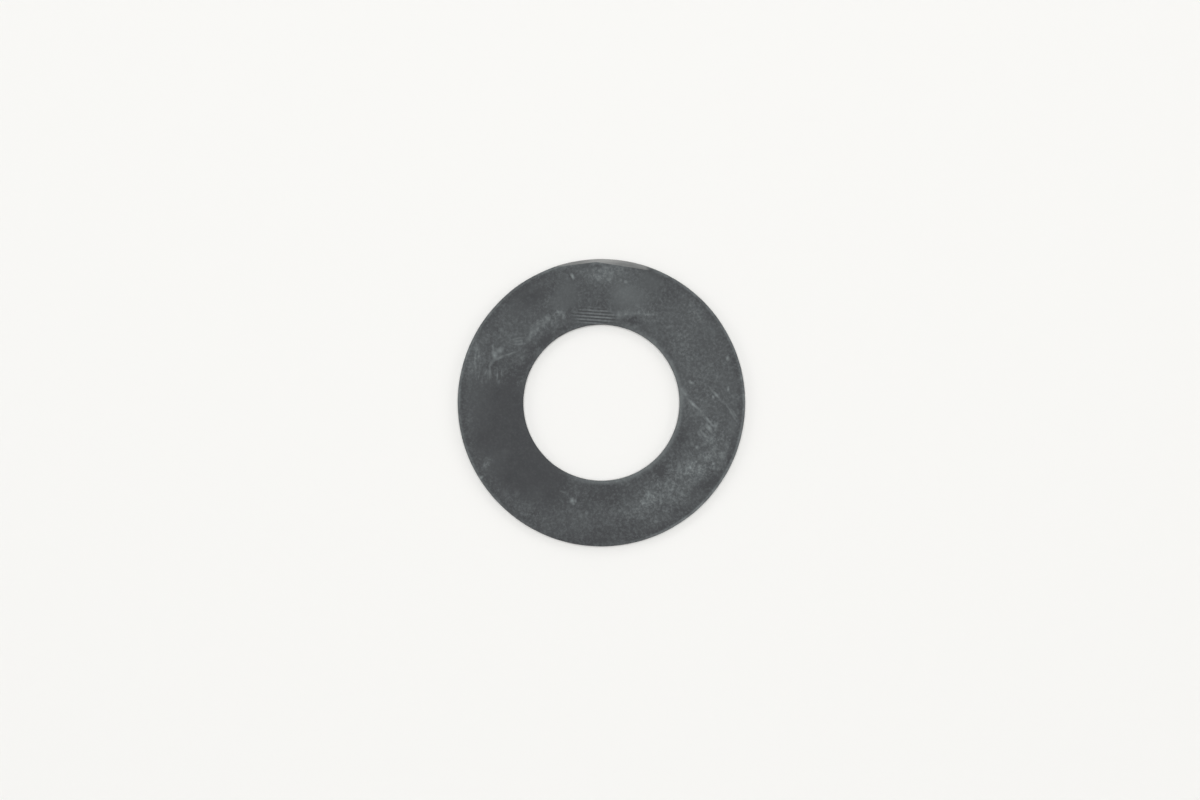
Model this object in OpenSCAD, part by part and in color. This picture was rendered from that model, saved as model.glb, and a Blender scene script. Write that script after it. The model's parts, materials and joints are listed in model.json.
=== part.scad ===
// Flat rubber washer, moulded in one piece.
// It lies on its underside at Z = 0, with the axis of its hole on Z.
// The upper edges of the ring are rounded, as a mould cavity leaves them. The lower edges, where the
// mould closed, are nearly sharp. Two slanted flats lie side by side on the rim's upper edge, where
// the moulding was pared with a knife.

/* [Ring] */
// Diameter over the rim
outer_d = 40.9; // [34:0.1:60]
// Diameter of the hole
bore_d = 22.2; // [10:0.1:28]
// Thickness between the two flat faces
thickness = 1.6; // [1.2:0.1:3.2]

/* [Edges] */
// Radius of the rim's upper edge
rim_edge_r = 0.4; // [0.1:0.05:0.6]
// Radius of the hole's upper edge
bore_edge_r = 0.55; // [0.1:0.05:0.6]
// Radius of both edges of the underside
lower_edge_r = 0.15; // [0.05:0.05:0.3]

/* [Wide pared flat] */
// Where the wide flat lies round the rim, in degrees from +X
wide_flat_at = 81; // [0:1:359]
// How far the wide flat reaches in from the rim on the upper face
wide_flat_w = 0.8; // [0.5:0.05:1.2]
// Fall of the wide flat from the upper face, in degrees
wide_flat_slope = 35; // [20:1:40]

/* [Narrow pared flat] */
// Where the narrow flat lies round the rim, in degrees from +X
narrow_flat_at = 97; // [0:1:359]
// How far the narrow flat reaches in from the rim on the upper face
narrow_flat_w = 0.5; // [0.3:0.05:0.7]
// Fall of the narrow flat from the upper face, in degrees
narrow_flat_slope = 52; // [40:1:55]

/* [Hidden] */
$fn = 180;
outer_r = outer_d / 2;
bore_r = bore_d / 2;

// What rounding a corner takes away: the tip of a square outside a quarter circle.
// The corner lies at the origin and points along +X and +Y.
module rounding(r) {
    translate([-r, -r])
        difference() {
            square(r);
            circle(r);
        }
}

// Section through one side of the ring, with the hole to its left and the upper face on top.
module ring_section() {
    difference() {
        translate([bore_r, 0])
            square([outer_r - bore_r, thickness]);
        translate([outer_r, thickness])
            rounding(rim_edge_r);
        translate([bore_r, thickness])
            mirror([1, 0])
                rounding(bore_edge_r);
        translate([outer_r, 0])
            mirror([0, 1])
                rounding(lower_edge_r);
        translate([bore_r, 0])
            rotate(180)
                rounding(lower_edge_r);
    }
}

// What one stroke of the knife takes off the rim: all that lies above its slanted plane.
// The plane cuts the upper face at the distance w from the rim.
module paring(at, w, slope) {
    rotate(at)
        translate([outer_r - w, 0, thickness])
            rotate([0, slope, 0])
                translate([0, -outer_r, 0])
                    cube([2 * w, outer_d, thickness]);
}

module rubber_washer() {
    color([0.34, 0.35, 0.355])
        difference() {
            rotate_extrude()
                ring_section();
            paring(wide_flat_at, wide_flat_w, wide_flat_slope);
            paring(narrow_flat_at, narrow_flat_w, narrow_flat_slope);
        }
}

rubber_washer();
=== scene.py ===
"""A flat moulded rubber washer, dusty and scuffed, lying on a pale floor and seen from straight above."""

import json
import math

import bpy
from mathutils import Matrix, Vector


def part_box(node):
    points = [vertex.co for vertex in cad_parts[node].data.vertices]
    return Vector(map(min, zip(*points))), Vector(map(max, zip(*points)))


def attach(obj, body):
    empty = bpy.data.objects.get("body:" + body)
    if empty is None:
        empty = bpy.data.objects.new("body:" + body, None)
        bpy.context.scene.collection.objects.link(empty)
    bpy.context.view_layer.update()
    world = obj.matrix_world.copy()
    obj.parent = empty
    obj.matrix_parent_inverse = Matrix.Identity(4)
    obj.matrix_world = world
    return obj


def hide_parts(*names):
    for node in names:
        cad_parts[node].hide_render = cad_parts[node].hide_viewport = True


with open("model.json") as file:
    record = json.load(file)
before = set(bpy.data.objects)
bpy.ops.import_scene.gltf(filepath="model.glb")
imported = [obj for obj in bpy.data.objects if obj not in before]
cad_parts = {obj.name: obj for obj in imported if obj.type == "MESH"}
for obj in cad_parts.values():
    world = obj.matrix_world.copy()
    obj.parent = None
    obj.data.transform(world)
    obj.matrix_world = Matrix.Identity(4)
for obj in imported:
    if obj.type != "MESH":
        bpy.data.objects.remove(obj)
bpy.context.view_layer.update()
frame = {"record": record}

MM = 0.001

# The ring, in metres. Its outside comes from the frame, and its hole from the mount that states it.
ring_low, ring_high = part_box("rubber_washer")
bore = next(mount for mount in frame["record"]["mounts"] if mount["name"] == "bore")
OUTER_R = (ring_high.x - ring_low.x) / 2
HOLE_R = bore["dims"]["r_mm"] * MM
THICKNESS = ring_high.z
RIM_EDGE_R = 0.4 * MM
HOLE_EDGE_R = 0.55 * MM
LOWER_EDGE_R = 0.15 * MM

# The two flats pared off the rim: where each lies in degrees from +X, how far it reaches in from the
# rim, and how far it falls from the upper face, in degrees.
WIDE_FLAT = {"at": 81, "reach": 0.8 * MM, "fall": 35}
NARROW_FLAT = {"at": 97, "reach": 0.5 * MM, "fall": 52}

# How finely the ring is meshed.
STEPS_ROUND = 720
UPPER_EDGE_STEPS = 9
LOWER_EDGE_STEPS = 4
FACE_STEP = 0.2 * MM
UNDERSIDE_STEP = 0.6 * MM

# The skin of the moulding sinks in by up to this much, in soft lumps of about this size.
UNEVENNESS = 0.03 * MM
LUMPS = {"size": 4.5 * MM, "detail": 2.0, "roughness": 0.5, "seed": 3.7, "low": 0.3, "high": 0.7}


class Value:
    """An output of a node. Sums and products of such values add the Math nodes that work them out."""

    def __init__(self, bench, socket):
        self.bench = bench
        self.socket = socket

    def math(self, operation, *others):
        return self.bench.add("ShaderNodeMath", {"operation": operation}, [self, *others])

    def output(self, name):
        """Another output of the same node."""
        return Value(self.bench, self.socket.node.outputs[name])

    def __add__(self, other):
        return self.math("ADD", other)

    def __sub__(self, other):
        return self.math("SUBTRACT", other)

    def __rsub__(self, other):
        return self.bench.add("ShaderNodeMath", {"operation": "SUBTRACT"}, [other, self])

    def __mul__(self, other):
        return self.math("MULTIPLY", other)

    def __truediv__(self, other):
        return self.math("DIVIDE", other)

    def __mod__(self, other):
        return self.math("MODULO", other)

    def __gt__(self, other):
        return self.math("GREATER_THAN", other)

    def __lt__(self, other):
        return self.math("LESS_THAN", other)

    __radd__ = __add__
    __rmul__ = __mul__


class Bench:
    """A node tree being built."""

    def __init__(self, tree):
        self.tree = tree

    def add(self, kind, settings=None, values=(), output=0):
        """Adds a node with its settings, then its inputs by order or by name, and gives one output."""
        node = self.tree.nodes.new(kind)
        for name, setting in (settings or {}).items():
            setattr(node, name, setting)
        pairs = values.items() if isinstance(values, dict) else enumerate(values)
        for key, value in pairs:
            if isinstance(value, Value):
                self.tree.links.new(value.socket, node.inputs[key])
            else:
                node.inputs[key].default_value = value
        return Value(self, node.outputs[output]) if node.outputs else None

    def vector(self, operation, *values):
        """A Vector Math node that gives a vector."""
        return self.add("ShaderNodeVectorMath", {"operation": operation}, values)

    def measure(self, operation, *vectors):
        """A Vector Math node that gives a number."""
        return self.add("ShaderNodeVectorMath", {"operation": operation}, vectors, "Value")

    def scaled(self, vector, factor):
        return self.add("ShaderNodeVectorMath", {"operation": "SCALE"}, {"Vector": vector, "Scale": factor})

    def xyz(self, x, y, z):
        return self.add("ShaderNodeCombineXYZ", values=[x, y, z])

    def along(self, axis, vector):
        """One of the vector's three parts: X, Y or Z."""
        return self.add("ShaderNodeSeparateXYZ", values=[vector], output=axis)

    def ease(self, value, low, high):
        """Rises smoothly from 0 at low to 1 at high, or falls if low is the larger."""
        return self.add(
            "ShaderNodeMapRange", {"interpolation_type": "SMOOTHSTEP"},
            {"Value": value, "From Min": low, "From Max": high},
        )

    def noise(self, place, size, detail, roughness, seed):
        """Smooth noise from 0 to 1 whose lumps are about size across, in the units of place."""
        return self.add(
            "ShaderNodeTexNoise", {"noise_dimensions": "4D"},
            {"Vector": place, "W": seed, "Scale": 1 / size, "Detail": detail, "Roughness": roughness},
        )

    def texture(self, place, low, high, **kind):
        """Patchy noise: 0 where the noise is under low, and 1 where it is over high."""
        return self.ease(self.noise(place, **kind), low, high)

    def mixed(self, share, first, second):
        """A colour between the first, where share is 0 or less, and the second, where it is 1 or more."""
        settings = {"data_type": "RGBA", "clamp_factor": True}
        # A Mix node takes colours at its inputs 6 and 7, and gives one at its output 2.
        return self.add("ShaderNodeMix", settings, {0: share, 6: first, 7: second}, 2)


def put(name, data):
    """A new object in the scene that holds a mesh, a lamp or a camera."""
    thing = bpy.data.objects.new(name, data)
    bpy.context.scene.collection.objects.link(thing)
    return thing


# The ring's mesh

def ring_tree():
    """Geometry nodes that sweep the rounded section round the hole's axis, make its skin a little
    uneven and pare the flats off the rim."""
    tree = bpy.data.node_groups.new("moulded_ring", "GeometryNodeTree")
    bench = Bench(tree)
    for name, kind in (
        ("Outer radius", "Float"), ("Hole radius", "Float"), ("Thickness", "Float"),
        ("Rim edge radius", "Float"), ("Hole edge radius", "Float"), ("Lower edge radius", "Float"),
        ("Unevenness", "Float"),
        ("Wide flat at", "Float"), ("Wide flat reach", "Float"), ("Wide flat fall", "Float"),
        ("Narrow flat at", "Float"), ("Narrow flat reach", "Float"), ("Narrow flat fall", "Float"),
        ("Steps round", "Int"), ("Rubber", "Material"),
    ):
        tree.interface.new_socket(name, in_out="INPUT", socket_type="NodeSocket" + kind)
    tree.interface.new_socket("Ring", in_out="OUTPUT", socket_type="NodeSocketGeometry")
    size = bench.add("NodeGroupInput")
    outer = size.output("Outer radius")
    hole = size.output("Hole radius")

    ring = sweep(bench, size, section(bench, size, outer - hole), (outer + hole) / 2)
    ring = uneven(bench, ring, size.output("Unevenness"))
    blocks = [knife_block(bench, size, flat) for flat in ("Wide flat", "Narrow flat")]
    pared = bench.add(
        "GeometryNodeMeshBoolean", {"operation": "DIFFERENCE", "solver": "EXACT"}, {"Mesh 1": ring}
    )
    for block in blocks:
        tree.links.new(block.socket, pared.socket.node.inputs["Mesh 2"])
    smooth = bench.add(
        "GeometryNodeSetShadeSmooth", {"domain": "FACE"}, {"Geometry": pared, "Shade Smooth": True}
    )
    creased = bench.add(
        "GeometryNodeSetShadeSmooth", {"domain": "EDGE"},
        {"Geometry": smooth, "Selection": pared.output("Intersecting Edges"), "Shade Smooth": False},
    )
    whole = bench.add("GeometryNodeRealizeInstances", values={"Geometry": creased})
    rubber = size.output("Rubber")
    finished = bench.add("GeometryNodeSetMaterial", values={"Geometry": whole, "Material": rubber})
    bench.add("NodeGroupOutput", values={"Ring": finished})
    return tree


def section(bench, size, width):
    """The section of the ring as a closed curve round its own middle, rounded at its four corners."""
    thickness = size.output("Thickness")
    lower_r = size.output("Lower edge radius")
    corners = bench.add(
        "GeometryNodeCurvePrimitiveQuadrilateral", {"mode": "RECTANGLE"},
        {"Width": width, "Height": thickness},
    )
    # Corner 0 is the rim's upper edge and corner 1 the hole's. The other two lie on the underside.
    corner = bench.add("GeometryNodeInputIndex")
    at_rim = corner < 0.5
    at_hole = (corner > 0.5) * (corner < 1.5)
    below = corner > 1.5
    radius = (
        at_rim * size.output("Rim edge radius")
        + at_hole * size.output("Hole edge radius")
        + below * lower_r
    )
    steps = (at_rim + at_hole) * UPPER_EDGE_STEPS + below * LOWER_EDGE_STEPS
    rounded = bench.add(
        "GeometryNodeFilletCurve", {"mode": "POLY"}, {"Curve": corners, "Count": steps, "Radius": radius}
    )
    place = bench.add("GeometryNodeInputPosition")
    count = bench.add("GeometryNodeSplineLength", output="Point Count")
    following = bench.add(
        "GeometryNodeFieldAtIndex", {"data_type": "FLOAT_VECTOR", "domain": "POINT"},
        {"Value": place, "Index": (bench.add("GeometryNodeInputIndex") + 1) % count},
    )
    gap = bench.measure("DISTANCE", place, following)
    # Only the underside lies lower than halfway up the roundings of the lower edges.
    underneath = bench.along("Y", place) < (lower_r - thickness) / 2
    step = FACE_STEP + underneath * (UNDERSIDE_STEP - FACE_STEP)
    return bench.add("GeometryNodeSubdivideCurve", values={"Curve": rounded, "Cuts": gap / step})


def sweep(bench, size, profile, middle_r):
    """The section swept once round the axis, standing on the plane of the underside."""
    path = bench.add(
        "GeometryNodeCurvePrimitiveCircle", {"mode": "RADIUS"},
        {"Resolution": size.output("Steps round"), "Radius": middle_r},
    )
    swept = bench.add("GeometryNodeCurveToMesh", values={"Curve": path, "Profile Curve": profile})
    return moved(bench, swept, bench.xyz(0.0, 0.0, size.output("Thickness") / 2))


def uneven(bench, mesh, depth):
    """The skin sunk in by up to depth, in soft lumps. It never stands proud of the true shape."""
    place = bench.add("GeometryNodeInputPosition")
    normal = bench.add("GeometryNodeInputNormal")
    inwards = bench.scaled(normal, bench.texture(place, **LUMPS) * depth * -1)
    return bench.add("GeometryNodeSetPosition", values={"Geometry": mesh, "Offset": inwards})


def knife_block(bench, size, flat):
    """What one stroke of the knife takes off the rim, as a block whose lower face is the cut."""
    outer = size.output("Outer radius")
    thickness = size.output("Thickness")
    reach = size.output(f"{flat} reach")
    block = bench.add("GeometryNodeMeshCube", values={"Size": bench.xyz(reach * 2, outer * 2, thickness)})
    block = moved(bench, block, bench.xyz(reach, 0.0, thickness / 2))
    block = turned(bench, block, bench.xyz(0.0, size.output(f"{flat} fall"), 0.0))
    block = moved(bench, block, bench.xyz(outer - reach, 0.0, thickness))
    return turned(bench, block, bench.xyz(0.0, 0.0, size.output(f"{flat} at")))


def moved(bench, mesh, move):
    return bench.add("GeometryNodeTransform", values={"Geometry": mesh, "Translation": move})


def turned(bench, mesh, angles):
    return bench.add("GeometryNodeTransform", values={"Geometry": mesh, "Rotation": angles})


def make_ring(rubber):
    """The washer as a plain mesh."""
    tree = ring_tree()
    ring = put("washer_ring", bpy.data.meshes.new("washer_ring"))
    nodes = ring.modifiers.new("moulded_ring", "NODES")
    nodes.node_group = tree
    sizes = {
        "Outer radius": OUTER_R, "Hole radius": HOLE_R, "Thickness": THICKNESS,
        "Rim edge radius": RIM_EDGE_R, "Hole edge radius": HOLE_EDGE_R, "Lower edge radius": LOWER_EDGE_R,
        "Unevenness": UNEVENNESS, "Steps round": STEPS_ROUND, "Rubber": rubber,
    }
    for name, flat in (("Wide flat", WIDE_FLAT), ("Narrow flat", NARROW_FLAT)):
        sizes[f"{name} at"] = math.radians(flat["at"])
        sizes[f"{name} reach"] = flat["reach"]
        sizes[f"{name} fall"] = math.radians(flat["fall"])
    for item in tree.interface.items_tree:
        if item.in_out == "INPUT":
            nodes[item.identifier] = sizes[item.name]
    evaluated = ring.evaluated_get(bpy.context.evaluated_depsgraph_get())
    ring.data = bpy.data.meshes.new_from_object(evaluated)
    ring.modifiers.clear()
    return ring


# The rubber. On its skin, places and sizes are in millimetres from the middle of the hole.

RIM = OUTER_R / MM
HOLE = HOLE_R / MM
TOP = THICKNESS / MM

# The colours of the bare rubber, of the palest bloom and of a fresh cut under its painted sheen, and
# how much the skin shines.
BARE_RUBBER = (0.0375, 0.0395, 0.0425, 1)
PALE_BLOOM = (0.28, 0.31, 0.313, 1)
CUT_RUBBER_SHEEN = (0.31, 0.312, 0.305, 1)
GLOSS = 0.25

# The roughness of the bare rubber, and what bloom and wisps of dust add to it.
BARE_ROUGHNESS = 0.676
BLOOM_ROUGHNESS = 0.2
WISP_ROUGHNESS = 0.06

# How high wisps and grain of dust stand on the skin, and how deep scratches go into it.
WISP_HEIGHT = 0.006
GRAIN_HEIGHT = 0.008
SCRATCH_DEPTH = 0.02

# Noise runs from 0 to 1, and this is its middle.
NOISE_MIDDLE = 0.5

# The fine textures of the dust. Veins run where their noise is within this much of its middle.
CLOUDS = {"size": 4.0, "detail": 2.0, "roughness": 0.5, "seed": 1.0, "low": 0.3, "high": 0.7}
WISPS = {"size": 1.4, "detail": 4.0, "roughness": 0.65, "seed": 4.0, "low": 0.42, "high": 0.7}
GRAIN = {"size": 0.38, "detail": 3.0, "roughness": 0.7, "seed": 2.0, "low": 0.42, "high": 0.7}
VEINS = {"size": 0.9, "detail": 2.0, "roughness": 0.5, "seed": 6.0}
VEIN_HALF = 0.045

# The texture that is drawn out into streaks.
STREAKS = {"size": 1.0, "detail": 2.0, "roughness": 0.5, "low": 0.45, "high": 0.7}

# How far the outlines of patches and of scratches wander from true ovals, over about what distance,
# and how finely.
PATCH_WANDER = 0.8
SCRATCH_WANDER = 0.25
WANDER_OVER = 0.8
WANDER_DETAIL = 2.0

# Marks fade out between these depths below the upper face, and the painted highlights of the edges
# between these heights above the underside.
MARKS_FULL, MARKS_END = 0.06, 0.2
HIGHLIGHT_ENDS, HIGHLIGHT_FULL = 0.2, 1.1

# How pale the dust is that lies everywhere: evenly, in its clouds, and in its mottling, which is made
# of these shares of the fine textures and has this mean. The last is for the grain that stays even
# where the dust is gone.
EVEN_DUST = 0.025
CLOUD_DUST = 0.045
MOTTLING = {"wisps": 0.075, "grain": 0.11, "veins": 0.04}
MEAN_MOTTLING = 0.08
LAST_GRAIN = 0.04

# How strong bloom is where it is even, and the shares of the fine textures in it.
EVEN_BLOOM = 0.35
BLOOM_TEXTURE = {"wisps": 0.55, "grain": 1.3, "veins": 0.75}

# The side that is smooth and nearly free of dust: middle, length and width, turn. An oval rises from 0
# at its edge to 1 in its middle, and the smoothness starts and is full at these levels of its oval.
SMOOTH_SIDE = ((-12.2, -5.6), (27.0, 15.0), -60.0)
SMOOTH_STARTS, SMOOTH_FULL = 0.05, 0.45

# The level of their ovals at which even patches are full, and how much of the mottling they lose.
EVEN_FULL = 0.5
EVEN_LOSES = 0.75

# How far in from the rim its painted highlight and its shade start and are full, and how strong they
# are. The painted highlight, where the rounded edge catches the light, is stronger on one side of the
# rim and weaker on another, and wisps make it uneven.
RIM_HIGHLIGHT_STARTS, RIM_HIGHLIGHT_FULL = 0.5, 0.2
RIM_HIGHLIGHT, RIM_MORE_HIGHLIGHT, RIM_LESS_HIGHLIGHT = 0.2, 0.12, 0.19
RIM_HIGHLIGHT_EVEN, RIM_HIGHLIGHT_WISPS = 0.65, 0.9
RIM_SHADE_STARTS, RIM_SHADE_FULL = 1.5, 0.7
RIM_SHADE = 0.04

# How far out from the hole its painted highlight, where the rounded edge catches the light, starts and
# is full, and how strong it is: everywhere, and how much more on one side.
HOLE_HIGHLIGHT_STARTS, HOLE_HIGHLIGHT_FULL = 0.8, 0.05
HOLE_HIGHLIGHT, HOLE_MORE_HIGHLIGHT = 0.02, 0.23

# Those sides: the direction in degrees from +X, and how far that way the side starts and is full.
RIM_BRIGHT_SIDE = (322, 10.0, 20.0)
RIM_DIM_SIDE = (258, 15.0, 20.0)
HOLE_BRIGHT_SIDE = (-20, -4.0, 5.0)

# How pale the two flats are, from the knife's cut and from a painted sheen of the light they face, and
# how much paler the wide one grows per millimetre outwards from its crease. The wide flat's paleness
# fades out on the right between these two places along X.
WIDE_CUT_SHEEN, NARROW_CUT_SHEEN = 0.48, 0.74
WIDE_CUT_SHEEN_OUTWARDS = 0.3
WIDE_CUT_SHEEN_ENDS, WIDE_CUT_SHEEN_FULL = 7.0, 6.1

# The palest part of the cut and its painted sheen: middle, length and width. Traces of the blade: a
# direction, their size along it and across it, seed. Then the strength of the cut and sheen where
# neither shows, and what the traces add to it.
PALEST_CUT_SHEEN = ((0.3, 20.4), (7.0, 2.0))
BLADE_TRACES = (88.0, 0.12, 3.0, 21.0)
EVEN_CUT_SHEEN = 0.8
TRACED_CUT_SHEEN = 0.2

# A pared flat holds to within the first of these distances from its plane, and is gone at the second.
FLAT_HOLDS, FLAT_ENDS = 0.01, 0.03

# Marks reach so far up and down that their height doesn't count.
MARK_HEIGHT = 1000

# A scratch fades out towards its ends, so it is drawn longer by this factor.
SCRATCH_OVERRUN = 1.25

# The length and width of the streaks in scuffed places.
SCUFF_STREAK = (2.2, 0.3)

# The close parallel scratches above the hole: middle, length and width, turn, the step between them
# and their paleness. They are full at this level of their oval, and their wave is raised by this much,
# so that each is wider than the gap beside it.
HATCH_AT, HATCH_ACROSS, HATCH_TURN = (-0.9, 12.2), (7.8, 3.4), -4.0
HATCH_STEP, HATCH_PALE = 0.453, 0.42
HATCH_FULL = 0.7
HATCH_RAISED = 0.3

# Streaks of this length, width and seed break them up: the strength between the streaks, and how much
# more there is on them.
HATCH_STREAK = (2.0, 0.3, 8.0)
HATCH_FAINT, HATCH_STRONGER = 0.45, 0.7

# Patches where bloom has gathered: middle, length and width, turn, paleness.
BLOOM = [
    ((9.8, -11.8), (15.0, 7.5), 42.0, 0.13),
    ((13.6, -9.2), (6.0, 5.0), 30.0, 0.12),
    ((6.8, -13.6), (5.5, 4.0), 20.0, 0.1),
    ((16.0, -5.4), (5.5, 9.0), 5.0, 0.13),
    ((3.5, -15.6), (8.0, 4.0), 0.0, 0.05),
    ((1.2, 18.3), (5.0, 3.6), 15.0, 0.1),
    ((-1.4, 18.2), (5.0, 3.0), 5.0, 0.07),
    ((15.2, -7.6), (3.4, 3.0), 0.0, 0.06),
    ((6.6, 12.7), (5.0, 3.0), -20.0, 0.11),
    ((11.6, 8.2), (7.0, 4.4), 110.0, 0.09),
    ((-6.0, 12.4), (3.4, 2.0), 20.0, 0.14),
    ((-8.9, 10.8), (4.6, 2.2), 50.0, 0.11),
    ((-18.0, 6.2), (6.4, 3.4), 76.0, 0.08),
    ((-18.4, -2.4), (6.0, 3.0), 90.0, 0.03),
    ((12.9, 12.9), (5.0, 3.4), 60.0, 0.08),
    ((14.6, 1.5), (14.0, 6.5), 90.0, 0.06),
    ((-16.3, -8.7), (2.8, 1.5), 65.0, 0.14),
    ((-10.4, -15.4), (8.0, 4.4), -35.0, 0.05),
]

# Patches where it has been rubbed off: middle, length and width, turn, darkness.
RUBBED = [
    ((0.0, -13.6), (18.0, 6.0), 0.0, 0.09),
    ((3.0, -18.0), (14.0, 4.6), 8.0, 0.08),
    ((15.0, -11.4), (6.5, 3.4), 30.0, 0.1),
    ((15.2, -9.5), (2.6, 2.2), 0.0, 0.07),
    ((15.2, -11.6), (3.6, 1.0), 25.0, 0.14),
    ((9.4, -9.0), (6.5, 3.0), 48.0, 0.1),
    ((8.1, -9.6), (1.6, 3.2), 0.0, 0.16),
    ((-10.0, -16.1), (2.6, 2.0), 0.0, 0.08),
    ((5.8, -10.5), (6.0, 1.8), 30.0, 0.08),
    ((0.6, -12.0), (6.0, 1.6), 0.0, 0.06),
    ((11.4, -5.2), (5.0, 2.2), 66.0, 0.12),
    ((18.2, -8.1), (2.0, 1.0), 70.0, 0.1),
    ((-9.4, 15.4), (11.0, 5.4), 30.0, 0.11),
    ((9.4, 15.2), (4.4, 3.4), 0.0, 0.07),
    ((-12.4, 4.0), (4.4, 4.4), 0.0, 0.08),
    ((-10.6, 5.6), (5.6, 1.8), 62.0, 0.12),
    ((-8.2, 8.7), (4.4, 1.6), 40.0, 0.14),
    ((-5.6, 10.6), (3.4, 1.2), 25.0, 0.1),
    ((-15.0, 5.2), (3.0, 2.6), 0.0, 0.08),
    ((-10.2, 7.4), (4.4, 2.4), 50.0, 0.04),
    ((-14.8, 10.2), (0.9, 1.0), 0.0, 0.12),
    ((4.5, 11.6), (3.0, 1.4), -8.0, 0.18),
    ((-4.55, 18.0), (0.6, 1.0), 0.0, 0.14),
    ((-0.3, 13.8), (3.4, 1.4), 0.0, 0.07),
    ((13.4, 6.8), (3.0, 3.0), 0.0, 0.06),
    ((-5.4, -11.2), (3.4, 2.2), -25.0, 0.07),
    ((11.0, -15.0), (3.4, 2.6), 30.0, 0.07),
    ((-4.8, 12.9), (2.6, 1.4), 10.0, 0.04),
]

# Places under a thin soft haze: middle, length and width, turn, paleness.
HAZE = [
    ((-17.6, 0.2), (11.0, 6.0), 90.0, 0.06),
    ((-15.4, -8.0), (6.4, 4.6), -60.0, 0.06),
    ((-17.2, 9.0), (4.0, 3.0), 70.0, 0.05),
    ((-8.6, 17.2), (5.0, 2.4), 25.0, 0.05),
    ((2.8, 16.2), (4.6, 5.0), 0.0, 0.07),
    ((3.9, 14.9), (7.6, 5.4), -10.0, 0.1),
    ((-0.4, 17.9), (8.4, 5.0), 0.0, 0.07),
    ((3.6, 12.7), (5.0, 1.6), 0.0, 0.15),
    ((-0.5, 19.95), (4.4, 0.9), 2.0, 0.3),
    ((-4.6, 19.4), (5.0, 0.9), 13.0, 0.16),
    ((2.9, 19.3), (4.0, 0.9), -8.0, 0.16),
    ((-5.2, 11.3), (3.0, 1.4), 20.0, 0.07),
    ((-18.9, 5.0), (3.4, 2.0), 80.0, 0.08),
    ((-9.2, -13.0), (3.6, 2.6), -30.0, 0.05),
    ((4.8, -14.6), (6.4, 4.4), 10.0, 0.08),
    ((-11.3, 6.9), (3.6, 3.0), 50.0, 0.05),
    ((17.2, 3.2), (3.6, 3.6), 0.0, 0.05),
    ((7.4, -17.0), (3.6, 2.6), 20.0, 0.05),
    ((14.2, 11.4), (3.8, 3.2), 0.0, 0.05),
    ((7.0, 11.1), (3.0, 2.2), 0.0, 0.06),
    ((12.8, 4.5), (2.6, 2.4), 0.0, 0.05),
    ((18.2, -4.0), (3.4, 2.6), 80.0, 0.06),
    ((9.2, 12.2), (5.0, 5.0), 0.0, 0.05),
    ((13.2, -1.0), (3.6, 3.6), 0.0, 0.04),
    ((18.8, -3.0), (5.0, 2.4), 80.0, 0.05),
    ((17.4, -7.8), (5.0, 3.0), 70.0, 0.05),
]

# Even patches, where the mottling fades: middle, length and width, turn, paleness.
EVEN = [
    ((-5.2, 15.1), (4.6, 6.4), -14.0, 0.02),
    ((-10.8, 14.6), (8.4, 4.8), 35.0, -0.01),
    ((7.0, 17.3), (4.6, 3.6), -20.0, 0.0),
    ((3.8, 14.9), (7.0, 4.4), -5.0, 0.0),
]

# Scuffed places: middle, length and width, turn, direction of the streaks, paleness, seed.
SCUFFS = [
    ((-14.9, 4.0), (3.0, 2.6), 0.0, 86.0, 0.25, 31.0),
    ((-16.9, 3.8), (3.0, 2.6), 0.0, 88.0, 0.22, 12.0),
    ((-17.8, 6.6), (4.4, 2.4), 84.0, 80.0, 0.18, 33.0),
    ((-12.0, 9.0), (4.8, 3.0), 15.0, 12.0, 0.16, 13.0),
    ((4.8, 12.4), (6.4, 2.0), -2.0, -3.0, 0.16, 14.0),
    ((-7.4, 11.4), (3.6, 2.0), 15.0, 85.0, 0.2, 15.0),
    ((15.0, -4.4), (5.4, 3.4), -50.0, -48.0, 0.22, 16.0),
    ((18.6, 0.0), (3.6, 2.4), 0.0, 18.0, 0.16, 17.0),
    ((1.4, 18.4), (4.6, 3.0), 5.0, 80.0, 0.1, 18.0),
]

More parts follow.
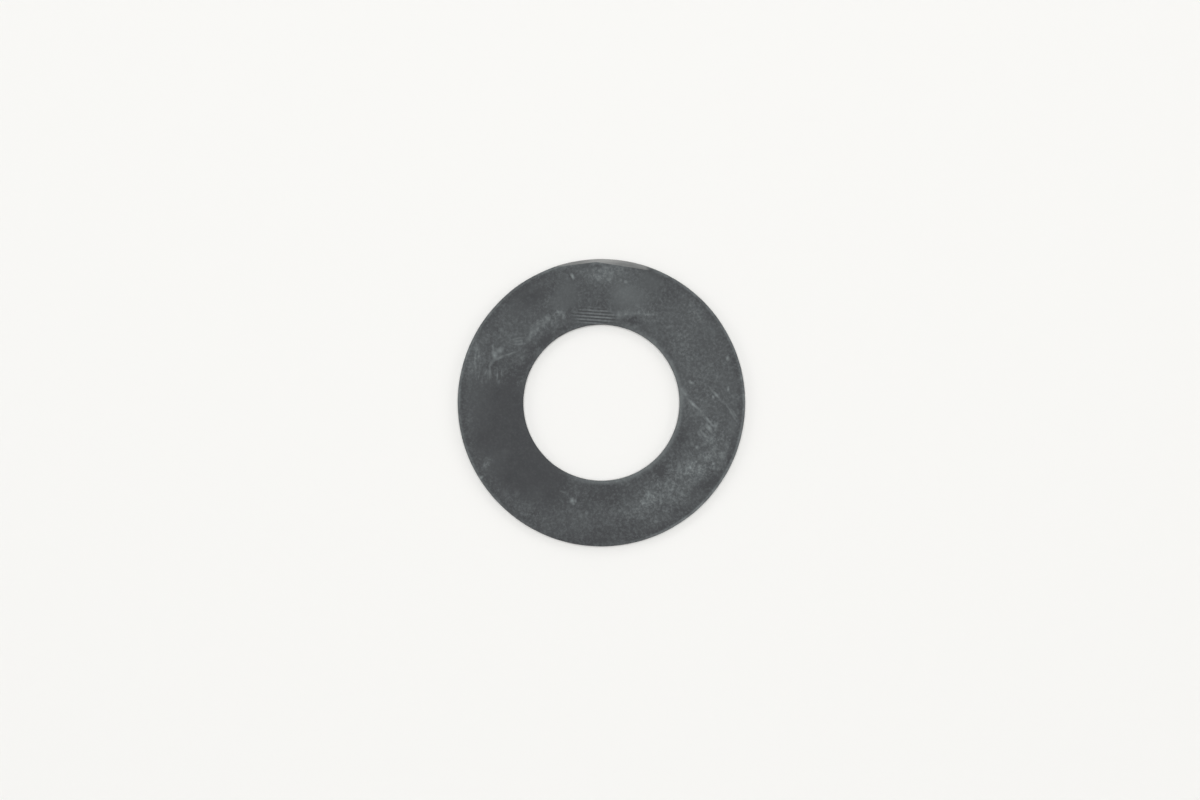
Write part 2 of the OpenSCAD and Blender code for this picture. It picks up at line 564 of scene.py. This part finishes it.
# Scratches: from, to, width, paleness.
SCRATCHES = [
    ((12.2, 0.55), (14.0, -1.05), 0.62, 0.55),
    ((11.3, 2.3), (12.5, 0.3), 0.8, 0.2),
    ((14.7, -1.9), (15.9, -3.35), 0.5, 0.5),
    ((14.9, -3.1), (15.7, -4.0), 0.8, 0.55),
    ((15.0, 2.6), (17.3, 0.0), 0.5, 0.22),
    ((16.0, 1.5), (16.8, 0.7), 0.6, 0.3),
    ((17.5, 0.1), (19.4, -2.9), 0.45, 0.26),
    ((18.3, -0.6), (19.3, -2.2), 0.35, 0.2),
    ((18.2, 0.85), (19.3, 1.2), 0.6, 0.14),
    ((13.9, -3.7), (15.0, -5.0), 0.45, 0.26),
    ((14.3, -5.0), (13.6, -4.2), 0.5, 0.16),
    ((12.3, 3.05), (13.2, 2.7), 0.55, 0.5),
    ((9.2, 10.6), (10.2, 11.0), 0.5, 0.2),
    ((4.3, 12.75), (8.0, 12.5), 0.5, 0.1),
    ((6.6, 12.4), (7.9, 12.75), 0.5, 0.14),
    ((10.2, -13.3), (10.8, -14.4), 0.6, 0.14),
    ((8.4, -13.1), (8.4, -14.6), 0.5, 0.26),
    ((-15.4, 7.4), (-14.9, 6.0), 1.0, 0.44),
    ((-15.0, 7.0), (-13.9, 7.9), 1.0, 0.42),
    ((-15.0, 6.1), (-13.8, 6.65), 0.5, 0.3),
    ((-13.9, 6.7), (-11.8, 7.3), 0.4, 0.26),
    ((-15.45, 8.3), (-15.35, 7.2), 0.4, 0.3),
    ((-15.3, 6.1), (-16.0, 5.0), 0.7, 0.28),
    ((-15.85, 5.2), (-15.85, 3.5), 0.5, 0.3),
    ((-16.2, 4.9), (-16.7, 3.8), 0.4, 0.12),
    ((-14.2, 4.8), (-14.2, 3.6), 0.4, 0.24),
    ((-17.9, 6.4), (-17.9, 4.0), 0.5, 0.2),
    ((-17.35, 7.5), (-17.45, 6.0), 0.5, 0.14),
    ((-12.7, 9.0), (-11.2, 9.25), 0.4, 0.22),
    ((-12.6, 8.65), (-11.3, 8.8), 0.4, 0.22),
    ((-12.6, 8.25), (-10.8, 8.45), 0.45, 0.28),
    ((-10.8, 8.4), (-9.9, 9.8), 1.0, 0.2),
    ((-10.0, 9.5), (-9.1, 10.9), 1.1, 0.2),
    ((-8.2, 11.7), (-8.2, 10.7), 0.5, 0.22),
    ((-7.0, 11.8), (-7.0, 10.7), 0.6, 0.18),
    ((-6.5, 12.85), (-5.6, 12.85), 0.6, 0.22),
    ((-5.3, 12.9), (-5.4, 11.7), 0.7, 0.24),
    ((-5.9, -12.5), (-4.8, -13.0), 0.5, 0.18),
]

# Spots: middle, length and width, turn, paleness.
SPOTS = [
    ((-4.1, 17.95), (1.2, 0.65), -65.0, 0.55),
    ((1.3, 18.0), (1.7, 1.0), 50.0, 0.13),
    ((1.15, 17.5), (0.8, 0.5), 30.0, 0.24),
    ((-0.8, 17.8), (1.3, 1.0), 0.0, 0.03),
    ((0.5, 18.7), (1.7, 0.7), 0.0, 0.18),
    ((0.6, 19.3), (1.4, 0.8), 0.0, 0.14),
    ((3.5, 17.15), (0.8, 0.6), -20.0, 0.34),
    ((2.45, 12.5), (1.0, 1.7), 0.0, 0.2),
    ((17.95, 6.3), (0.6, 0.9), 0.0, 0.44),
    ((18.0, 1.9), (0.45, 1.0), 0.0, 0.44),
    ((15.9, 0.75), (0.5, 0.8), 0.0, 0.34),
    ((17.3, 0.1), (0.7, 0.6), 0.0, 0.2),
    ((12.5, -0.9), (0.7, 0.6), 0.0, 0.16),
    ((14.1, -1.5), (1.6, 1.4), 0.0, 0.18),
    ((11.6, 0.6), (1.3, 4.0), 5.0, 0.14),
    ((15.4, 5.4), (1.3, 1.1), 0.0, 0.1),
    ((15.3, 4.6), (1.5, 0.9), 20.0, 0.09),
    ((16.3, -3.4), (1.0, 1.7), 0.0, 0.2),
    ((12.9, -5.9), (0.8, 1.0), 0.0, 0.24),
    ((13.55, -6.3), (0.7, 0.7), 0.0, 0.4),
    ((14.8, -5.6), (0.8, 1.3), 0.0, 0.12),
    ((17.6, -5.9), (1.2, 1.3), 0.0, 0.08),
    ((16.1, -7.2), (0.8, 1.4), 0.0, 0.16),
    ((17.2, -7.4), (1.4, 1.6), 0.0, 0.16),
    ((15.9, -8.7), (0.5, 0.45), 0.0, 0.4),
    ((15.95, -9.3), (0.8, 0.9), 0.0, 0.2),
    ((16.6, -9.4), (0.8, 0.9), 0.0, 0.18),
    ((11.0, -9.1), (0.8, 1.9), 0.0, 0.24),
    ((12.6, -9.2), (1.4, 1.8), 0.0, 0.22),
    ((13.9, -9.6), (2.0, 1.4), 0.0, 0.12),
    ((11.35, -12.9), (0.8, 0.9), 0.0, 0.34),
    ((10.85, -12.8), (0.8, 1.0), 0.0, 0.14),
    ((9.5, -12.9), (1.8, 2.6), 0.0, 0.1),
    ((6.7, -13.0), (0.8, 1.4), -20.0, 0.28),
    ((7.2, -14.0), (1.8, 1.6), 0.0, 0.12),
    ((5.9, -14.1), (1.0, 1.0), 0.0, 0.16),
    ((6.5, -15.4), (1.5, 0.8), 0.0, 0.12),
    ((5.8, -16.4), (1.2, 0.8), 0.0, 0.14),
    ((7.8, -16.9), (0.7, 0.7), 0.0, 0.26),
    ((-2.1, -15.7), (0.7, 0.8), 0.0, 0.24),
    ((-3.0, -16.0), (0.8, 0.8), 0.0, 0.2),
    ((-4.15, -13.9), (0.9, 1.0), 0.0, 0.55),
    ((-3.65, -13.9), (0.45, 0.9), 0.0, 0.4),
    ((-3.95, -14.35), (0.6, 0.5), 0.0, 0.3),
    ((-12.0, -12.9), (1.0, 1.3), 0.0, 0.12),
    ((-13.7, -12.8), (1.3, 1.2), 0.0, 0.1),
    ((-17.0, -10.6), (0.8, 0.6), 50.0, 0.4),
    ((-13.5, -7.0), (2.0, 1.5), 0.0, 0.05),
    ((-14.6, 2.9), (0.6, 0.9), 0.0, 0.2),
    ((-17.0, 3.0), (0.5, 1.0), 0.0, 0.16),
    ((-16.4, 3.0), (0.5, 0.8), 0.0, 0.14),
    ((-17.8, 7.9), (1.2, 1.4), 0.0, 0.16),
    ((-14.3, 10.3), (0.8, 0.9), 0.0, 0.2),
    ((-9.0, 11.2), (1.2, 1.3), 0.0, 0.2),
    ((-7.7, 11.9), (1.1, 1.5), 0.0, 0.26),
    ((-7.4, 14.5), (1.8, 2.0), 0.0, 0.08),
]


def measured(bench, place, at=(0, 0), turn=0.0, unit=(1, 1, 1)):
    """The place as measured from at, along axes turned by turn degrees, in these units."""
    return bench.add(
        "ShaderNodeMapping", {"vector_type": "TEXTURE"},
        {"Vector": place, "Location": (*at, 0), "Rotation": (0, 0, math.radians(turn)), "Scale": unit},
    )


def oval(bench, place, at, across, turn=0.0):
    """A soft oval mark, 1 in its middle and 0 from its edge on. Its length lies at turn degrees from +X."""
    local = measured(bench, place, at, turn, (across[0] / 2, across[1] / 2, MARK_HEIGHT))
    # The first output would be the same as a colour.
    return bench.add("ShaderNodeTexGradient", {"gradient_type": "SPHERICAL"}, [local], 1)


def marks(bench, place, rows):
    """The sum of oval marks, each row giving middle, length and width, turn and paleness."""
    return sum(pale * oval(bench, place, at, across, turn) for at, across, turn, pale in rows)


def scratch_oval(start, end, width, pale):
    """The row of the oval mark that stands for one straight scratch."""
    middle = ((start[0] + end[0]) / 2, (start[1] + end[1]) / 2)
    turn = math.degrees(math.atan2(end[1] - start[1], end[0] - start[0]))
    return middle, (math.dist(start, end) * SCRATCH_OVERRUN, width), turn, pale


def streaks(bench, place, turn, along, across, seed):
    """Noise drawn out into streaks, by its size along the direction of turn and across it."""
    return bench.texture(measured(bench, place, turn=turn, unit=(along, across, 1)), seed=seed, **STREAKS)


def hatching(bench, place):
    """The close parallel scratches above the hole."""
    local = measured(bench, place, HATCH_AT, HATCH_TURN)
    wave = (bench.along("Y", local) * (2 * math.pi / HATCH_STEP)).math("COSINE")
    patch = bench.ease(oval(bench, place, HATCH_AT, HATCH_ACROSS, HATCH_TURN), 0.0, HATCH_FULL)
    broken = streaks(bench, place, HATCH_TURN, *HATCH_STREAK) * HATCH_STRONGER + HATCH_FAINT
    return patch * (wave + HATCH_RAISED) * broken * HATCH_PALE


def direction(turn):
    """The flat direction that lies at turn degrees from +X."""
    return (math.cos(math.radians(turn)), math.sin(math.radians(turn)), 0)


def one_side(bench, place, turn, start, full):
    """Rises from 0 to 1 towards one side, as the place passes start and full in that direction."""
    return bench.ease(bench.measure("DOT_PRODUCT", place, direction(turn)), start, full)


def on_flat(bench, place, flat):
    """1 on a pared flat, and 0 further from its plane than a hair."""
    fall = math.radians(flat["fall"])
    out = direction(flat["at"])
    normal = (math.sin(fall) * out[0], math.sin(fall) * out[1], math.cos(fall))
    crease = RIM - flat["reach"] / MM
    level = math.sin(fall) * crease + math.cos(fall) * TOP
    off_plane = (bench.measure("DOT_PRODUCT", place, normal) - level).math("ABSOLUTE")
    near = bench.ease(off_plane, FLAT_ENDS, FLAT_HOLDS)
    return near * (bench.measure("DOT_PRODUCT", place, out) > crease)


class Skin:
    """The washer's skin: the places that marks are laid on, and the fine textures of the dust. Patches
    are laid on ragged places and scratches on drawn ones, so that their outlines wander."""

    def __init__(self, bench):
        self.bench = bench
        metres = bench.add("ShaderNodeTexCoord", output="Object")
        self.place = bench.add("ShaderNodeMapping", values={"Vector": metres, "Scale": (1 / MM,) * 3})
        wander = bench.add(
            "ShaderNodeTexNoise", {"noise_dimensions": "3D"},
            {"Vector": self.place, "Scale": 1 / WANDER_OVER, "Detail": WANDER_DETAIL}, "Color",
        )
        sway = bench.vector("SUBTRACT", wander, (NOISE_MIDDLE,) * 3)
        self.ragged = bench.vector("ADD", self.place, bench.scaled(sway, PATCH_WANDER))
        self.drawn = bench.vector("ADD", self.place, bench.scaled(sway, SCRATCH_WANDER))
        self.height = bench.along("Z", self.place)
        self.upper = bench.ease(self.height, TOP - MARKS_END, TOP - MARKS_FULL)
        self.out = bench.measure("LENGTH", bench.vector("MULTIPLY", self.place, (1, 1, 0)))
        self.clouds = bench.texture(self.place, **CLOUDS)
        self.wisps = bench.texture(self.ragged, **WISPS)
        self.grain = bench.texture(self.place, **GRAIN)
        off_middle = (bench.noise(self.ragged, **VEINS) - NOISE_MIDDLE).math("ABSOLUTE")
        self.veins = bench.ease(off_middle, VEIN_HALF, 0.0)

    def textured(self, wisps, grain, veins):
        """The fine textures added up in these shares."""
        return self.wisps * wisps + self.grain * grain + self.veins * veins


def even_patches(skin):
    """The patches where the mottling fades, each with its paleness."""
    return [
        (skin.bench.ease(oval(skin.bench, skin.ragged, at, across, turn), 0.0, EVEN_FULL), pale)
        for at, across, turn, pale in EVEN
    ]


def thin_dust(skin, even):
    """The dust that lies everywhere, but thinly on the smooth side, and less mottled in even patches."""
    smooth = skin.bench.ease(oval(skin.bench, skin.place, *SMOOTH_SIDE), SMOOTH_STARTS, SMOOTH_FULL)
    dusty = 1 - smooth * skin.upper
    lively = 1 - sum(patch for patch, pale in even) * skin.upper * EVEN_LOSES
    mottling = (skin.textured(**MOTTLING) - MEAN_MOTTLING) * lively + MEAN_MOTTLING
    return dusty * (EVEN_DUST + skin.clouds * CLOUD_DUST + mottling) + skin.grain * LAST_GRAIN


def scuffed_places(skin):
    """Soft ovals, each filled with fine streaks that lie its own way."""
    return sum(
        oval(skin.bench, skin.ragged, at, across, turn)
        * streaks(skin.bench, skin.drawn, streak_turn, *SCUFF_STREAK, seed)
        * pale
        for at, across, turn, streak_turn, pale, seed in SCUFFS
    )


def edge_highlights(skin):
    """The painted highlights along the upper edges of rim and hole, less the shade along the rim."""
    bench = skin.bench
    dim_side = one_side(bench, skin.place, *RIM_DIM_SIDE)
    bright_side = one_side(bench, skin.place, *RIM_BRIGHT_SIDE)
    above = bench.ease(skin.height, HIGHLIGHT_ENDS, HIGHLIGHT_FULL)
    # Painted highlight where the rounded rim edge catches the light, weaker on the side turned from it.
    rim_highlight = (
        bench.ease(skin.out, RIM - RIM_HIGHLIGHT_STARTS, RIM - RIM_HIGHLIGHT_FULL)
        * above
        * (RIM_HIGHLIGHT + bright_side * RIM_MORE_HIGHLIGHT - dim_side * RIM_LESS_HIGHLIGHT)
        * (RIM_HIGHLIGHT_EVEN + skin.wisps * RIM_HIGHLIGHT_WISPS)
    )
    rim_shade = bench.ease(skin.out, RIM - RIM_SHADE_STARTS, RIM - RIM_SHADE_FULL) * RIM_SHADE
    # Painted highlight where the rounded edge of the hole catches the light, strongest on one side.
    hole_highlight = (
        bench.ease(skin.out, HOLE + HOLE_HIGHLIGHT_STARTS, HOLE + HOLE_HIGHLIGHT_FULL)
        * above
        * (HOLE_HIGHLIGHT + one_side(bench, skin.place, *HOLE_BRIGHT_SIDE) * HOLE_MORE_HIGHLIGHT)
    )
    return rim_highlight - rim_shade + hole_highlight


def cut_and_sheen(skin):
    """How much of the pale cut rubber and its painted sheen shows, which is none beside the two pared
    flats.
    """
    bench = skin.bench
    past_crease = skin.out - (RIM - WIDE_FLAT["reach"] / MM)
    wide = on_flat(bench, skin.place, WIDE_FLAT) * (past_crease * WIDE_CUT_SHEEN_OUTWARDS + WIDE_CUT_SHEEN)
    wide = wide * bench.ease(bench.along("X", skin.place), WIDE_CUT_SHEEN_ENDS, WIDE_CUT_SHEEN_FULL)
    both = wide + on_flat(bench, skin.place, NARROW_FLAT) * NARROW_CUT_SHEEN
    palest = oval(bench, skin.place, *PALEST_CUT_SHEEN)
    return both * (EVEN_CUT_SHEEN + palest + streaks(bench, skin.place, *BLADE_TRACES) * TRACED_CUT_SHEEN)


def cleared_bench(owner):
    """The emptied node tree of a material or of the world."""
    owner.use_nodes = True
    owner.node_tree.nodes.clear()
    return Bench(owner.node_tree)


def rubber_finish():
    """Dark moulded rubber under an uneven pale bloom, scuffed and scratched on its upper face, with
    painted highlights along its edges and a painted sheen on its pared flats.
    """
    material = bpy.data.materials.new("dusty_rubber")
    bench = cleared_bench(material)
    skin = Skin(bench)

    even = even_patches(skin)
    dust = thin_dust(skin, even)
    bloom = marks(bench, skin.ragged, BLOOM) * (EVEN_BLOOM + skin.textured(**BLOOM_TEXTURE))
    haze = marks(bench, skin.ragged, HAZE) + sum(patch * pale for patch, pale in even)
    scuffs = scuffed_places(skin)
    straight = marks(bench, skin.drawn, [scratch_oval(*row) for row in SCRATCHES])
    scratches = straight + hatching(bench, skin.place)
    spots = marks(bench, skin.drawn, SPOTS)
    rubbed = marks(bench, skin.ragged, RUBBED)
    marked = (bloom + haze + scuffs + scratches + spots - rubbed) * skin.upper

    # Besides dust and marks, the paleness holds painted highlights along the edges.
    pale = dust + marked + edge_highlights(skin)
    colour = bench.mixed(pale, BARE_RUBBER, PALE_BLOOM)
    # The pared flats: pale cut rubber, with a painted sheen of the light falling on them.
    colour = bench.mixed(cut_and_sheen(skin), colour, CUT_RUBBER_SHEEN)
    roughness = BARE_ROUGHNESS + pale * BLOOM_ROUGHNESS + skin.wisps * WISP_ROUGHNESS
    dust_relief = skin.wisps * WISP_HEIGHT + skin.grain * GRAIN_HEIGHT
    relief = dust_relief - (scratches + scuffs) * skin.upper * SCRATCH_DEPTH
    bump = bench.add("ShaderNodeBump", values={"Strength": 1.0, "Distance": MM, "Height": relief})
    shader = bench.add(
        "ShaderNodeBsdfPrincipled",
        values={
            "Base Color": colour, "Roughness": roughness, "Specular IOR Level": GLOSS, "Normal": bump,
        },
    )
    bench.add("ShaderNodeOutputMaterial", values={"Surface": shader})
    return material


# The room

# The floor is a square. It reaches this far from the washer, and has this colour and roughness.
FLOOR_HALF = 1.5
FLOOR_COLOUR = (0.9, 0.895, 0.875, 1)
FLOOR_ROUGHNESS = 0.9

# The world's light: its colour, the strength with which it lights the washer and the floor, and how
# much brighter it looks itself, to the camera, in a reflection or through something clear.
WORLD_COLOUR = (1, 0.998, 0.985, 1)
WORLD_LIGHT = 0.17
WORLD_LOOKS_BRIGHTER = 0.765

# The camera looks straight down from above this place, and its picture is this wide on the floor. It
# sees nothing that is nearer to it than the last value.
CAMERA_AT = (-0.2 * MM, 0.385 * MM)
FRAME_WIDTH = 171.14 * MM
VIEW_LENS = 100
VIEW_SENSOR = 36
NEAREST_SEEN = 0.01


def floor_finish():
    """Plain pale studio floor."""
    material = bpy.data.materials.new("pale_floor")
    bench = cleared_bench(material)
    shader = bench.add(
        "ShaderNodeBsdfPrincipled", values={"Base Color": FLOOR_COLOUR, "Roughness": FLOOR_ROUGHNESS}
    )
    bench.add("ShaderNodeOutputMaterial", values={"Surface": shader})
    return material


def lay_floor(finish):
    """The floor that the washer lies on."""
    mesh = bpy.data.meshes.new("studio_floor")
    far = FLOOR_HALF
    corners = [(-far, -far, 0), (far, -far, 0), (far, far, 0), (-far, far, 0)]
    mesh.from_pydata(corners, [], [(0, 1, 2, 3)])
    mesh.materials.append(finish)
    return put("studio_floor", mesh)


def hang_lamp(name, toward, elevation, distance, across, share):
    """A square soft lamp that faces the washer. Share is how bright it alone makes a white floor."""
    toward = math.radians(toward)
    elevation = math.radians(elevation)
    light = bpy.data.lights.new(name, "AREA")
    light.shape = "SQUARE"
    light.size = across
    light.energy = share * math.pi**2 * distance**2 / math.sin(elevation)
    lamp = put(name, light)
    flat = distance * math.cos(elevation)
    lamp.location = (flat * math.cos(toward), flat * math.sin(toward), distance * math.sin(elevation))
    lamp.rotation_euler = lamp.location.to_track_quat("Z", "Y").to_euler()


def light_room():
    """The main lamp overhead, three weaker ones round the washer, and the pale light of the room."""
    hang_lamp("overhead_lamp", toward=90, elevation=88, distance=1.2, across=0.35, share=0.705)
    hang_lamp("upper_lamp", toward=90, elevation=50, distance=1.0, across=0.5, share=0.06)
    hang_lamp("left_lamp", toward=170, elevation=45, distance=1.0, across=0.5, share=0.07)
    hang_lamp("right_lamp", toward=10, elevation=45, distance=1.0, across=0.5, share=0.07)
    world = bpy.data.worlds.new("studio")
    bpy.context.scene.world = world
    bench = cleared_bench(world)
    seen = bench.add("ShaderNodeLightPath", output="Is Camera Ray")
    reflected = seen.output("Is Glossy Ray")
    through = seen.output("Is Transmission Ray")
    looked_at = seen.math("MAXIMUM", reflected).math("MAXIMUM", through)
    strength = WORLD_LIGHT + looked_at * WORLD_LOOKS_BRIGHTER
    back = bench.add("ShaderNodeBackground", values={"Color": WORLD_COLOUR, "Strength": strength})
    bench.add("ShaderNodeOutputWorld", values={"Surface": back})


def place_camera():
    """The camera above the washer, at the height from which its picture has its width on the floor."""
    optics = bpy.data.cameras.new("camera")
    optics.lens = VIEW_LENS
    optics.sensor_width = VIEW_SENSOR
    optics.clip_start = NEAREST_SEEN
    camera = put("camera", optics)
    camera.location = (*CAMERA_AT, FRAME_WIDTH * VIEW_LENS / VIEW_SENSOR)
    bpy.context.scene.camera = camera


place_camera()
light_room()
floor = lay_floor(floor_finish())
washer = make_ring(rubber_finish())
bpy.context.scene.view_settings.view_transform = "Standard"

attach(washer, "root")
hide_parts("rubber_washer")
